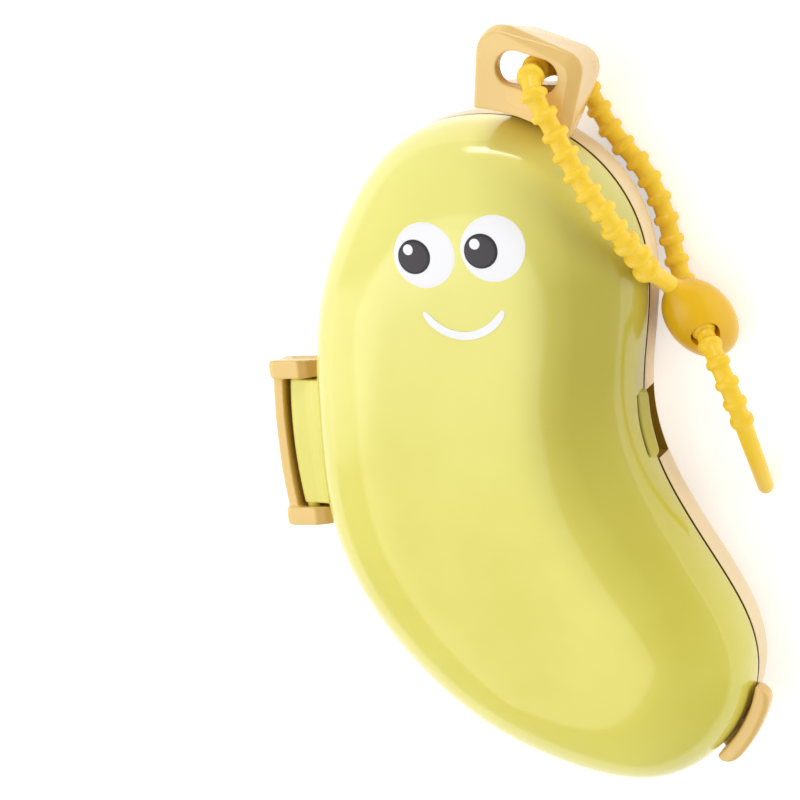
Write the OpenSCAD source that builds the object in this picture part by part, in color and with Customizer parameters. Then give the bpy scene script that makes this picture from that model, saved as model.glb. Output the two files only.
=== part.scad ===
// Banana-shaped clamshell case for a toothbrush, lying on its flat back.
// Millimetres. +Z points out of the lid, +Y along the length towards the stem.
// The origin is on the flat back, under the middle of the case.

/* [Shells] */
// height of the parting plane over the flat back
base_height = 16; // [12:0.5:22]
// height of the lid over the parting plane
lid_height = 24; // [18:0.5:32]
// wall of both shells
wall = 2.2; // [1.6:0.1:3.2]
// straight part of the tray's wall under the parting plane
rim_depth = 5.5; // [3:0.5:8]
// how far the tray's underside is drawn in by its rounded edge
back_inset = 11; // [6:0.5:14]
// gap between the closed lid's edge and the tray's rim
parting_gap = 0.3; // [0.2:0.05:0.5]
// bluntness of the lid's cross-section, 2 is an ellipse
dome_power = 2.5; // [2.1:0.1:3.2]
// height of the two soft crests along the lid
crest = 0.5; // [0:0.1:1]

/* [Locating lip] */
// how far the lip stands over the rim, inside the lid
lip_height = 2; // [1:0.25:3.5]
// thickness of the lip
lip_wall = 1.2; // [0.8:0.1:2]
// gap between the lip and the inside of the lid
lip_gap = 0.4; // [0.25:0.05:0.6]
// how far the catch bead stands out of the lip
catch_proud = 0.25; // [0.1:0.05:0.35]

/* [Hinge] */
// place of the hinge pin along X
pin_x = -53.6; // [-56:0.1:-52]
// middle of the hinge along Y
hinge_y = -9.7; // [-20:0.2:0]
// length of the lid's hinge barrel
barrel_length = 31.2; // [24:0.2:40]
// radius at the middle of the barrel
barrel_radius = 2.6; // [2.2:0.1:3]
// radius of the pin stubs
pin_radius = 1.5; // [1:0.1:1.8]
// length of each pin stub inside its arm
pin_engagement = 2.6; // [1.5:0.1:3.5]
// running clearance round a pin stub
pin_clearance = 0.06; // [0.03:0.01:0.1]
// gap between the barrel's end and the arm
arm_gap = 0.6; // [0.4:0.1:1]
// thickness of each bracket arm along Y
arm_width = 4.8; // [4:0.1:6]
// width of the bracket bar
bar_width = 3.1; // [2.4:0.1:4]
// radius of the bracket's outer corners, seen from the front
arm_corner = 1.5; // [0.5:0.1:2]
// gap between the barrel and the bracket bar
bar_gap = 1; // [0.7:0.1:2]
// height of the bracket over the parting plane
bracket_rise = 3.6; // [3:0.1:4.5]

/* [Pull lip] */
// how far the lid's pull lip stands out
pull_reach = 1.5; // [1.2:0.1:4]
// thickness of the pull lip
pull_thick = 3.6; // [2.4:0.1:5]
// depth of the finger notch under the parting plane
notch_depth = 7.5; // [4:0.5:8]
// how far the notch is sunk into the tray's wall
notch_sink = 4.2; // [3:0.1:5]

/* [Stem] */
// height of the stem's front face over the flat back
stem_top = 34; // [30:0.5:40]
// height of the stem's open back
stem_back = 12; // [11:0.5:15]
// thickness of the stem's front plate
stem_plate = 3.4; // [2.4:0.1:5]
// radius of the ends of the strap slot
slot_radius = 4; // [3.8:0.1:4.6]

/* [Tail nub] */
// thickness of the nub
nub_thick = 4.1; // [3:0.1:5]
// gap between the nub and the lid
nub_gap = 0.9; // [0.5:0.1:1.5]
// height of the nub's top over the parting plane
nub_rise = 7; // [4:0.5:9]

/* [Strap] */
// radius of the strap's plain core
core_radius = 2.15; // [1.8:0.05:2.4]
// radius of the strap's ribs
rib_radius = 3.3; // [2.8:0.05:3.5]
// how much smaller the ribs are at the tail
rib_taper = 0.55; // [0:0.05:0.8]
// distance between the ribs
rib_pitch = 5; // [4:0.25:7]
// thickness of each rib
rib_thick = 2.2; // [1:0.1:2.5]
// length of the plain tail
plain_tail = 24; // [10:1:28]
// radius of the head bead across the strap
bead_radius = 7.6; // [7:0.1:9]
// half length of the head bead
bead_half = 12; // [10:0.1:13]
// clearance round the ribs in the bead's hole
hole_clearance = 0.1; // [0.05:0.05:0.6]

/* [Hidden] */

// colours of the three mouldings
peach = [0.93, 0.80, 0.55];
lime = [0.90, 0.88, 0.46];
amber = [0.96, 0.76, 0.15];

// clearance between two solids that one moulding joins
seat = 0.05;

// control points of the parting outline, from the stem round the hinge side
outline = [[0, 70.5], [-19.5, 66], [-33, 49], [-44.5, 24.5], [-46.5, -4],
           [-47, -31.5], [-35.5, -55.5], [-16, -77], [9, -89], [31.5, -93.5],
           [47, -85], [57, -69.5], [56.5, -53], [46.5, -35.5], [36.5, -17],
           [33, 0], [37, 18], [39.5, 36.5], [33.5, 53.5], [19.5, 66.5]];
knots = len(outline);
// points round the outline
around = 100;
// where the lid's ridge begins and ends, in knots from the stem
ridge_start = 3;
ridge_end = 7.2;

lid_bottom = base_height + parting_gap;
lid_top = base_height + lid_height;
// straight band at the lid's edge
lid_band = 1.4;
edge_round = 0.5;

hinge_low = hinge_y - barrel_length / 2;
hinge_high = hinge_y + barrel_length / 2;
bracket_low = 11;
bracket_top = base_height + bracket_rise;
// how much the barrel and the bar bulge at their middle
hinge_bow = 0.8;

// the pull lip's and the notch's middle, in knots
latch_at = 14.72;
latch_half = 0.47;
// the notch's ends and the end of the lid's cut for the lip's root, in knots
notch_from = latch_at - 0.27;
notch_to = latch_at + 0.15;
root_to = latch_at + 0.27;

notch_floor = base_height - notch_depth;
notch_radius = 4.6;

slot_a = [17.3, 82.7];
slot_b = [23.1, 80.2];

// where the tail nub begins and ends, in knots
nub_from = 9.95;
nub_to = 10.95;
// height of the nub's foot, and how far its outer side is drawn in there
nub_foot = base_height - 7.5;
nub_lean = 2.8;
// the outer side is upright from here
nub_upright = base_height + 3;

// the strap's route: out of the bead, over the stem, through the slot, back along
// the floor behind the rim, through the bead and out as the tail
route = [[43.6, 28.2, 18.2], [42.9, 30.1, 19.8], [41.5, 33.6, 26.5], [40.4, 39.5, 31.5],
         [38.6, 43.7, 35], [36.7, 48.9, 37.2], [33.7, 53.8, 38], [31.2, 58.1, 37.9],
         [28.9, 62.8, 37.6], [26.8, 67.5, 37.5], [25.1, 71.6, 38], [23.7, 74.9, 38.4],
         [22.4, 78.1, 37.6], [21.4, 80.4, 35.2], [21, 81.3, 31.7], [20.8, 81.4, 26],
         [20.8, 80.9, 20], [21, 79.7, 14.5], [21.7, 77.2, 9.2], [22.9, 73.2, 5.2],
         [24.8, 68, 3.7], [27.2, 62.9, 3.6], [30.2, 58.3, 3.6], [33.6, 53.9, 3.6],
         [36.3, 49.1, 3.6], [38.3, 43.9, 3.6], [39.5, 38.9, 3.6], [40.2, 34, 3.6],
         [41.4, 29, 4.4], [43.2, 24.4, 5.9], [46.8, 19.8, 11], [51.1, 14.4, 17.1],
         [53.4, 11.6, 19.9], [55.1, 7.9, 20.9], [56.5, 3.9, 20.9], [57.4, -0.1, 20.1],
         [58, -4, 18.7], [58.3, -7.8, 16.8], [58.4, -11.3, 14.6], [58.3, -14.7, 12],
         [58.1, -17.9, 9.2], [57.7, -21, 6.2], [57.2, -24, 2.9], [56.9, -25.9, 0.8]];
// the route's points where the strap enters and leaves the bead's hole
hole_in = 29;
hole_out = 31;
// from the bead's middle to the strap's start
neck = 13.6;
// from the strap's start to its first rib
first_rib = 9;
rib_slope = 0.35;
// the bead is an egg up to this angle and tapers into the strap from there
shoulder_angle = 52;
shoulder_power = 1.6;
sides = 8;
// a direction that no stretch of the route runs along
aside = [0.92, 0.39, 0];

// Curve and skin functions

function knot(i) = outline[(i + knots) % knots];

// a closed cubic spline pulled by the control points
function curve(u) =
    let (i = floor(u), f = u - i, g = 1 - f)
    (knot(i - 1) * g * g * g
     + knot(i) * (3 * f * f * f - 6 * f * f + 4)
     + knot(i + 1) * (3 * g * g * g - 6 * g * g + 4)
     + knot(i + 2) * f * f * f) / 6;

function along(u) =
    let (i = floor(u), f = u - i, g = 1 - f)
    (-knot(i - 1) * g * g
     + knot(i) * (3 * f * f - 4 * f)
     + knot(i + 1) * (4 * g - 3 * g * g)
     + knot(i + 2) * f * f) / 2;

// unit vector square to the outline, pointing away from the case
function outward(u) = let (t = along(u)) [t[1], -t[0]] / norm(t);

// the outline moved outwards by some distance
function shifted(u, out) = curve(u) + outward(u) * out;

function station(k) = (k + 0.5) * knots / around;

function ring(out, z) =
    [for (k = [0 : around - 1]) concat(shifted(station(k), out), z)];

// middle between the two sides of the case, held still past the ridge's ends
function foot(u) =
    let (v = u > knots / 2 ? knots - u : u,
         w = min(max(v, ridge_start), ridge_end))
    (curve(w) + curve(knots - w)) / 2;

// one level of a dome that rises from the outline to the ridge
function dome_ring(out, z, height, angle) =
    let (share = pow(cos(angle), 2 / dome_power),
         lift = pow(sin(angle), 2 / dome_power),
         swell = crest * exp(-pow((share - 0.5) / 0.16, 2)))
    [for (k = [0 : around - 1])
        let (u = station(k), p = foot(u))
        concat(p + (shifted(u, out) - p) * share, z + height * lift + swell)];

// faces of a tube of loops, closed at both ends across each loop
function skin_faces(loops, n) = concat(
    [for (j = [0 : loops - 2], k = [0 : n - 1])
        let (a = j * n + k, b = j * n + (k + 1) % n)
        each [[a, b, b + n], [a, b + n, a + n]]],
    [for (k = [0 : n / 2 - 2])
        each [[k, n - 1 - k, n - 2 - k], [k, n - 2 - k, k + 1]]],
    let (m = (loops - 1) * n)
    [for (k = [0 : n / 2 - 2])
        each [[m + k, m + k + 1, m + n - 2 - k],
              [m + k, m + n - 2 - k, m + n - 1 - k]]]);

module skin(loops) {
    n = len(loops[0]);
    polyhedron(points = [for (l = loops) each l],
               faces = [for (f = skin_faces(len(loops), n)) [f[2], f[1], f[0]]]);
}

// a strip that follows the outline between two knots; ends are rounded off
function strip_loop(from, to, low, high, z, trim) =
    let (n = 12)
    concat(
        [for (k = [0 : n])
            let (t = 2 * k / n - 1, s = sqrt(max(0, 1 - pow(abs(t), 6))))
            concat(shifted(from + (to - from) * k / n,
                           low + trim + (high - low - 2 * trim) * (0.1 + 0.9 * s)), z)],
        [for (k = [n : -1 : 0])
            concat(shifted(from + (to - from) * k / n, low), z)]);

module strip(from, to, low, high, levels) {
    skin([for (l = levels) strip_loop(from, to, low, high, l[0], l[1])]);
}

// The tray

// [distance outwards, height] pairs from the back up, over the rim and down inside
function tray_profile() =
    let (low = base_height - rim_depth,
         inner_in = -wall - 0.3,
         lip_out = -wall - lip_gap,
         lip_in = lip_out - lip_wall)
    concat(
        [for (a = [90 : -15 : 15])
            [-back_inset * (1 - cos(a)), low * (1 - sin(a))]],
        [[0, low], [0, base_height - edge_round],
         [-edge_round * 0.3, base_height - edge_round * 0.3],
         [-edge_round, base_height],
         [lip_out, base_height],
         [lip_out, base_height + lip_height - 0.4],
         [lip_out - 0.4, base_height + lip_height],
         [lip_in, base_height + lip_height],
         [lip_in, base_height - 2]],
        [for (a = [0 : 15 : 90])
            [inner_in - 1.2 - (back_inset - 2) * (1 - cos(a)),
             low - (low - wall) * sin(a)]]);

module base_shell() {
    color(peach)
    difference() {
        union() {
            skin([for (p = tray_profile()) ring(p[0], p[1])]);
            notch_housing();
            catch_bead();
        }
        notch(notch_to, notch_radius - notch_sink, notch_floor, base_height + 0.2);
    }
}

// the finger notch's tool: a short slot that follows the outline
module notch(to, out, low, high) {
    hull()
    for (u = [notch_from, to])
        translate(concat(shifted(u, out), low))
            cylinder(r = notch_radius, h = high - low, $fn = 40);
}

// the wall that closes the notch towards the inside
module notch_housing() {
    intersection() {
        hull()
        for (u = [notch_from, notch_to])
            translate(concat(shifted(u, notch_radius - notch_sink), notch_floor - 1.6))
                cylinder(r = notch_radius + 1.6, h = notch_depth + 1.3, $fn = 40);
        skin([ring(-1, 3), ring(-1, base_height - 0.3)]);
    }
}

// a rounded ridge on the lip that the lid's edge passes with a light touch
module catch_bead() {
    strip(latch_at - 0.3, latch_at + 0.3, -wall - lip_gap - 0.3,
          -wall - lip_gap + catch_proud,
          [[base_height + 0.7, 0.2], [base_height + 1, 0],
           [base_height + 1.3, 0.2]]);
}

// The stem with its strap slot

// corner circles of the stem, [x, y, radius]: front face, full outline under it, back
stem_face = [[13.6, 85.6, 5.2], [26.6, 80.2, 3.4], [8.3, 73.6, 1.8], [25.6, 69, 1.4]];
stem_full = [[14.2, 85.9, 6.1], [27.9, 80.9, 4.6], [8.3, 73.9, 2.2], [26.6, 68, 2]];
stem_rear = [[14.6, 83.4, 4.6], [24.7, 78.6, 5.2], [10.5, 64, 2.4], [19.5, 62, 2]];
// corner circles of the pocket, under the front plate and at the back, open to the left
pocket_front = [[14.2, 85.9, 3.5], [27.9, 80.9, 2], [10.5, 79.5, 0.4], [25.5, 77.6, 0.4]];
pocket_rear = [[3, 84, 3], [24.7, 78.6, 3.4], [3, 77.5, 3], [24, 75.2, 0.8]];
// how far the full outline lies under the front face
stem_round = 2.2;

module stem_slice(corners, inset, z) {
    for (c = corners)
        translate([c[0], c[1], z])
            cylinder(r = max(c[2] - inset, 0.4), h = 0.4, $fn = 36);
}

module stem() {
    color(peach)
    difference() {
        hull() {
            stem_slice(stem_face, 0.3, stem_top - 0.4);
            stem_slice(stem_face, 0, stem_top - 0.7);
            stem_slice(stem_full, 0, stem_top - stem_round - 0.4);
            stem_slice(stem_rear, 0, stem_back + 0.8);
            stem_slice(stem_rear, 0.8, stem_back);
        }
        // room for the strap behind the front plate
        hull() {
            stem_slice(pocket_front, 0, stem_top - stem_plate - 0.4);
            stem_slice(pocket_rear, 0, stem_back - 1);
        }
        // the slot and its eased front edge
        hull()
        for (c = [slot_a, slot_b])
            translate(concat(c, stem_top - stem_plate - 3))
                cylinder(r = slot_radius, h = stem_plate + 4, $fn = 48);
        hull()
        for (c = [slot_a, slot_b])
            translate(concat(c, stem_top - 0.6))
                cylinder(r1 = slot_radius, r2 = slot_radius + 0.8, h = 0.8, $fn = 48);
        // clear of the lid above the parting plane, seated on the tray's wall below
        skin([ring(0.6, base_height - 0.3), ring(3.2, stem_top + 2)]);
        skin([ring(seat, stem_back - 2), ring(seat, base_height)]);
    }
}

// The hinge

// bulge of the barrel and the bar at a place along the hinge
function bow(y) = hinge_bow * (1 - pow(2 * (y - hinge_y) / barrel_length, 2));

bar_inner = pin_x - barrel_radius + hinge_bow - bar_gap;

function bar_loop(y) =
    let (x1 = bar_inner - bow(y), x0 = x1 - bar_width, r = 0.9,
         z0 = bracket_low, z1 = bracket_top)
    [[x0 + r, y, z0], [x0, y, z0 + r], [x0, y, z1 - r], [x0 + r * 0.3, y, z1 - r * 0.3],
     [x0 + r, y, z1], [x1 - r, y, z1], [x1 - r * 0.3, y, z1 - r * 0.3], [x1, y, z1 - r],
     [x1, y, z0 + r], [x1 - r, y, z0]];

module bracket_arm(y0) {
    x0 = bar_inner - bar_width - 0.6;
    difference() {
        intersection() {
            translate([0, y0 + arm_width, 0])
            rotate([90, 0, 0])
            linear_extrude(height = arm_width)
            polygon([[x0 + 1.2, bracket_low], [x0, bracket_low + 1.2],
                     [x0, bracket_top - 1.4], [x0 + 0.5, bracket_top - 0.4],
                     [x0 + 1.6, bracket_top],
                     [pin_x + 1.6, bracket_top], [pin_x + 4, bracket_top - 0.9],
                     [pin_x + 6.4, base_height + 1.2], [pin_x + 7.1, base_height - 0.1],
                     [pin_x + 12, base_height - 0.4], [pin_x + 12, bracket_low]]);
            hull()
            for (x = [x0 + arm_corner, pin_x + 20],
                 y = [y0 + arm_corner, y0 + arm_width - arm_corner])
                translate([x, y, 0])
                    cylinder(r = arm_corner, h = bracket_top + 1, $fn = 32);
        }
        skin([ring(seat, bracket_low - 1), ring(seat, base_height + 1)]);
    }
}

module hinge_bracket() {
    low_arm = hinge_low - arm_gap - arm_width;
    high_arm = hinge_high + arm_gap;
    bore = arm_gap + pin_engagement + 0.2;
    color(peach)
    difference() {
        union() {
            bracket_arm(low_arm);
            bracket_arm(high_arm);
            skin([for (k = [0 : 12])
                bar_loop(low_arm + 1 + k * (high_arm - low_arm + arm_width - 2) / 12)]);
        }
        translate([pin_x, hinge_high + bore, base_height])
        rotate([90, 0, 0])
            cylinder(r = pin_radius + pin_clearance, h = barrel_length + 2 * bore, $fn = 48);
    }
}

module hinge_tab() {
    n = 10;
    end_radius = barrel_radius - hinge_bow;
    color(lime) {
        difference() {
            union() {
                // the barrel, fuller at its middle
                translate([pin_x, hinge_low, base_height])
                rotate([-90, 0, 0])
                rotate_extrude($fn = 48)
                polygon(concat(
                    [[0, 0], [end_radius - 0.3, 0]],
                    [for (k = [0 : n])
                        let (y = 0.3 + (barrel_length - 0.6) * k / n)
                        [end_radius + bow(hinge_low + y), y]],
                    [[end_radius - 0.3, barrel_length], [0, barrel_length]]));
                // the leaf that joins the barrel to the lid
                translate([pin_x, hinge_low, lid_bottom])
                    cube([12, barrel_length, 1.9]);
            }
            skin([ring(seat, base_height - 4), ring(seat, base_height + 6)]);
        }
        for (end = [hinge_low, hinge_high + arm_gap + pin_engagement])
            translate([pin_x, end, base_height])
            rotate([90, 0, 0])
                cylinder(r = pin_radius, h = arm_gap + pin_engagement, $fn = 48);
    }
}

// The lid

module lid_shell() {
    inner_top = lid_height - parting_gap - lid_band - wall;
    outer_top = lid_height - parting_gap - lid_band;
    start = lid_bottom + lid_band;
    steps = [for (a = [0 : 9 : 81]) a];
    color(lime)
    difference() {
        skin(concat(
            [for (a = [81 : -13.5 : 0]) dome_ring(-wall, start, inner_top, a)],
            [ring(-wall, lid_bottom),
             ring(-edge_round, lid_bottom),
             ring(-edge_round * 0.3, lid_bottom + edge_round * 0.3),
             ring(0, lid_bottom + edge_round)],
            [for (a = steps) dome_ring(0, start, outer_top, a)],
            [dome_ring(0, start, outer_top, 86)]));
        notch(root_to, notch_radius - 1.1, base_height, base_height + 5.4);
    }
}

module pull_lip() {
    color(lime) {
        strip(latch_at - latch_half, latch_at + latch_half, seat, pull_reach,
              [[lid_bottom + 0.6, 0.5], [lid_bottom + 1, 0.1],
               [lid_bottom + pull_thick - 0.2, 0.1], [lid_bottom + pull_thick + 0.3, 0.5]]);
        // the root that fills the notch in the lid's wall
        strip(latch_at - 0.24, latch_at + 0.24, -0.6, 0.6,
              [[lid_bottom + 1, 0], [lid_bottom + pull_thick - 0.2, 0]]);
    }
}

// The tail nub

// how far the nub's outer side stands off the outline at a height
function nub_side(z) =
    nub_gap + nub_thick - nub_lean * max(0, nub_upright - z) / (nub_upright - nub_foot);

module tail_nub() {
    top = base_height + nub_rise;
    // [height, inner side, how far both sides are trimmed]
    levels = [[nub_foot, seat, 0.6], [nub_foot + 1, seat, 0.1],
              [base_height - 0.2, seat, 0], [base_height - 0.1, nub_gap, 0],
              [nub_upright, nub_gap, 0], [top - 1.2, nub_gap, 0],
              [top - 0.4, nub_gap, 0.2], [top, nub_gap, 0.6]];
    color(peach)
    skin([for (l = levels)
        strip_loop(nub_from, nub_to, l[1] + (l[0] > nub_upright ? l[2] : 0),
                   nub_side(l[0]) - l[2], l[0], l[2])]);
}

// Strap functions

function unit(v) = v / norm(v);
function stop(i) = route[min(max(i, 0), len(route) - 1)];

// a smooth curve through the route's points
function strand(i, f) =
    let (a = stop(i - 1), b = stop(i), c = stop(i + 1), d = stop(i + 2))
    (2 * b + (c - a) * f + (2 * a - 5 * b + 4 * c - d) * f * f
     + (3 * b - a - 3 * c + d) * f * f * f) / 2;

fine = [for (i = [0 : len(route) - 2], k = [0 : 9]) strand(i, k / 10), stop(len(route))];

// distance along the strap at each fine point
function run(i, sum, out) =
    i == len(fine) ? out
    : let (s = sum + norm(fine[i] - fine[i - 1])) run(i + 1, s, concat(out, s));
reach = run(1, 0, [0]);
strap_length = reach[len(reach) - 1];

function before(s, low, high) =
    high - low <= 1 ? low
    : let (m = floor((low + high) / 2))
      reach[m] <= s ? before(s, m, high) : before(s, low, m);

// the point and the direction at a distance along the strap
function place(s) =
    let (i = before(s, 0, len(reach) - 1), f = (s - reach[i]) / (reach[i + 1] - reach[i]))
    fine[i] + (fine[i + 1] - fine[i]) * f;
function heading(s) =
    s < 0.4 ? unit(route[1] - route[0])
    : unit(place(min(s + 0.4, strap_length)) - place(s - 0.4));

ribs = floor((strap_length - plain_tail - first_rib) / rib_pitch) + 1;

function rib_size(s) = rib_radius - rib_taper * s / strap_length;

// [distance along, radius] of every ring of the strap
strap_rings = concat(
    [[seat, core_radius]],
    [for (i = [0 : ribs - 1])
        let (s = first_rib + i * rib_pitch, h = rib_thick / 2)
        each [[s - h - rib_slope, core_radius], [s - h, rib_size(s)],
              [s + h, rib_size(s)], [s + h + rib_slope, core_radius]]],
    [[strap_length - 9, core_radius * 0.95], [strap_length - 1.4, core_radius * 0.88],
     [strap_length - 0.4, core_radius * 0.6], [strap_length, core_radius * 0.25]]);

function strap_ring(s, r) =
    let (t = heading(s), side = unit(cross(t, aside)), up = cross(side, t), p = place(s))
    [for (k = [0 : sides - 1])
        let (a = (k + 0.5) * 360 / sides) p + (side * cos(a) - up * sin(a)) * r];

// least gap between stretches of the strap that are more than 15 mm apart along it
strap_gap = min([for (i = [0 : 5 : len(fine) - 1], k = [i + 5 : 5 : len(fine) - 1])
                 if (reach[k] - reach[i] > 15) norm(fine[k] - fine[i]) - 2 * rib_radius]);

echo(strap_length = strap_length, ribs = ribs, strap_gap = strap_gap);

module strap() {
    color(amber)
    skin([for (r = strap_rings) strap_ring(r[0], r[1])]);
}

module turned_to(way) {
    rotate([0, acos(way[2]), atan2(way[1], way[0])])
        children();
}

module strap_bead() {
    way = unit(route[1] - route[0]);
    hole = unit(route[hole_out] - route[hole_in]);
    color(amber)
    difference() {
        translate(route[0] - way * neck)
        turned_to(way)
        rotate_extrude($fn = 48)
        polygon(concat(
            [for (a = [-90 : 9 : shoulder_angle - 4])
                [bead_radius * cos(a), bead_half * sin(a)]],
            [for (k = [0 : 7])
                let (t = k / 7, r = bead_radius * cos(shoulder_angle) - core_radius,
                     z = bead_half * sin(shoulder_angle))
                [core_radius + r * pow(1 - t, shoulder_power), z + (neck - z) * t]],
            [[0, neck]]));
        translate(route[hole_in] - hole * bead_radius)
        turned_to(hole)
            cylinder(r = rib_radius + hole_clearance, h = bead_half * 4, $fn = 40);
    }
}

base_shell();
stem();
hinge_bracket();
tail_nub();
lid_shell();
hinge_tab();
pull_lip();
strap();
strap_bead();
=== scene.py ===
"""Looks of a banana-shaped toothbrush case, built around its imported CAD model.

Sizes below are millimetres in the CAD frame and are turned into metres when a mesh is made.
"""
import math

import bmesh
import bpy
import numpy as np
from mathutils import Matrix, Vector
from mathutils.bvhtree import BVHTree


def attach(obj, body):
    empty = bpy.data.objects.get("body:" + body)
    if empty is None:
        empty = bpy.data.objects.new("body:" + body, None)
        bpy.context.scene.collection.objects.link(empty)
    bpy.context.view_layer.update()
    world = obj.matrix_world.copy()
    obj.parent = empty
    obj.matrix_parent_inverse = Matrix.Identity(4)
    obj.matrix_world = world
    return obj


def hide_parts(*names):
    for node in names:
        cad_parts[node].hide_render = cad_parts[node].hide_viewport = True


MM = 0.001

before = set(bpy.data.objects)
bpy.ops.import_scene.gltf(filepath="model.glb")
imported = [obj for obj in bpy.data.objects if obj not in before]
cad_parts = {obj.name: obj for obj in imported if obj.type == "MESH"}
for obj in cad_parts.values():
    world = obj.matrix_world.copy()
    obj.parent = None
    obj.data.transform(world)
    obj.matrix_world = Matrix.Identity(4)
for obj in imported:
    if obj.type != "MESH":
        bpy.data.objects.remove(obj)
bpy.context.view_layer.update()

# Shells; the main sizes repeat those of the part's source
BASE_HEIGHT = 16.0
LID_HEIGHT = 24.0
WALL = 2.2
RIM_DEPTH = 5.5
BACK_INSET = 11.0
PARTING_GAP = 0.3
DOME_POWER = 2.5
CREST = 0.5
CREST_AT = 0.5
CREST_WIDTH = 0.16
LID_BAND = 1.4
EDGE_ROUND = 0.5
LIP_HEIGHT = 2.0
LIP_WALL = 1.2
LIP_GAP = 0.4
LIP_BEVEL = 0.4
LIP_ROOT = 2.0
INSIDE_STEP = 1.5
INSIDE_EASE = 2.0
LID_BOTTOM = BASE_HEIGHT + PARTING_GAP
LID_START = LID_BOTTOM + LID_BAND
LID_RISE = LID_HEIGHT - PARTING_GAP - LID_BAND
RIDGE_START = 3.0
RIDGE_END = 7.2

# Gap where a piece seats on the case's side
SEAT = 0.05

# Parting line, drawn a little wider than its gap, with painted shade on the tray's edge inside it
GROOVE = 0.25
RIM_EDGE = BASE_HEIGHT - GROOVE
LID_EDGE = LID_BOTTOM + GROOVE
PAINTED_SHADE_REACH = 0.9
PAINTED_SHADE_ROWS = 3

# Knots of the closed outline, anticlockwise from the stem's end
OUTLINE = np.array([
    [0, 70.5], [-19.5, 66], [-33, 49], [-44.5, 24.5], [-46.5, -4],
    [-47, -31.5], [-35.5, -55.5], [-16, -77], [9, -89], [31.5, -93.5],
    [47, -85], [57, -69.5], [56.5, -53], [46.5, -35.5], [36.5, -17],
    [33, 0], [37, 18], [39.5, 36.5], [33.5, 53.5], [19.5, 66.5]])
KNOTS = len(OUTLINE)

# Hinge
PIN_X = -53.6
HINGE_Y = -9.7
BARREL_LENGTH = 31.2
BARREL_RADIUS = 2.6
PIN_RADIUS = 1.5
PIN_ENGAGEMENT = 2.6
PIN_CLEARANCE = 0.06
BORE_SPARE = 0.2
ARM_GAP = 0.6
ARM_WIDTH = 4.8
ARM_CORNER = 1.5
ARM_RAKE = 1.7
ARM_PROUD = 0.6
BAR_WIDTH = 3.1
BAR_GAP = 1.0
BAR_SET = 0.3
BAR_DROP = 0.8
WEB_TOP = 12.2
BRACKET_LOW = 11.0
BRACKET_TOP = BASE_HEIGHT + 3.6
CASE_REACH = 12.0
HINGE_BOW = 0.8
HINGE_LOW = HINGE_Y - BARREL_LENGTH / 2
HINGE_HIGH = HINGE_Y + BARREL_LENGTH / 2
BAR_INNER = PIN_X - BARREL_RADIUS + HINGE_BOW - BAR_GAP

# Hinge leaf: its upper side, past the pin and above the barrel, and its under side, past and
# above the pin
TAB_FULLNESS = 0.62
TAB_SWEEP = [[2.2, 0.15], [4.4, 0.55], [6.2, 1.3], [8.2, 3.0]]
TAB_UNDER = [[9.0, 0.35], [4.0, 0.35]]
TAB_SINK = 0.3

# Pull lip and finger notch
LATCH_AT = 14.72
LATCH_HALF = 0.47
PULL_REACH = 1.5
PULL_THICK = 3.6
PULL_SINK = 0.6
NOTCH_RADIUS = 4.6
NOTCH_SINK = 4.2
NOTCH_WALL = 1.6
NOTCH_FLOOR = BASE_HEIGHT - 7.5
NOTCH_FROM = LATCH_AT - 0.27
NOTCH_TO = LATCH_AT + 0.15
ROOT_TO = LATCH_AT + 0.27
ROOT_HEIGHT = 5.4
ROOT_SINK = 1.1

# Stem; each slice of it or of its hollow is the hull of circles, given as x, y and radius
STEM_TOP = 34.0
STEM_BACK = 12.0
STEM_PLATE = 3.4
STEM_ROUND = 2.2
STEM_EDGE = 0.3
STEM_BACK_EDGE = 0.8
STEM_CLEAR = 0.6
STEM_CLEAR_TOP = 5.6
LEAST_RADIUS = 0.4
STEM_FACE = [[13.6, 85.6, 5.2], [26.6, 80.2, 3.4], [8.3, 73.6, 1.8], [25.6, 69, 1.4]]
STEM_FULL = [[14.2, 85.9, 6.1], [27.9, 80.9, 4.6], [8.3, 73.9, 2.2], [26.6, 68, 2]]
STEM_REAR = [[14.6, 83.4, 4.6], [24.7, 78.6, 5.2], [10.5, 64, 2.4], [19.5, 62, 2]]
POCKET_FRONT = [[14.2, 85.9, 3.5], [27.9, 80.9, 2], [10.5, 79.5, 0.4], [25.5, 77.6, 0.4]]
POCKET_REAR = [[3, 84, 3], [24.7, 78.6, 3.4], [3, 79.6, 3], [11, 79.6, 3], [24, 75.2, 0.8]]
SLOT_ENDS = [[16.8, 82.2], [23.1, 80.0]]
SLOT_RADIUS = 4.0

# Tail nub and pull lip: bands along the outline with rounded ends
NUB_FROM = 9.95
NUB_TO = 11.12
NUB_RAKE = 0.27
NUB_THICK = 4.1
NUB_GAP = 0.9
NUB_TOP = BASE_HEIGHT + 7
NUB_FOOT = BASE_HEIGHT - 7.5
NUB_LEAN = 2.8
NUB_UPRIGHT = BASE_HEIGHT + 3
BAND_END_SHARE = 0.1
BAND_END_POWER = 9

# Strap and its head bead
CORE_RADIUS = 2.15
RIB_RADIUS = 3.3
RIB_TAPER = 0.55
RIB_PITCH = 5.0
RIB_THICK = 2.2
RIB_FLARE = 0.3
RIB_STEP = 0.12
RIB_POWER = 2.6
RIB_ROUND = 0.6
FIRST_RIB = 11.3
RIB_COUNT = 37
TAIL_TAPER = 0.12
TIP_LENGTH = 0.8
SLOPE_STEP = 0.4
BEAD_RADIUS = 7.6
BEAD_HALF = 12.0
NECK = 13.6
SHOULDER_ANGLE = 52.0
SHOULDER_POWER = 1.6
HOLE_RADIUS = RIB_RADIUS + 0.1
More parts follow.
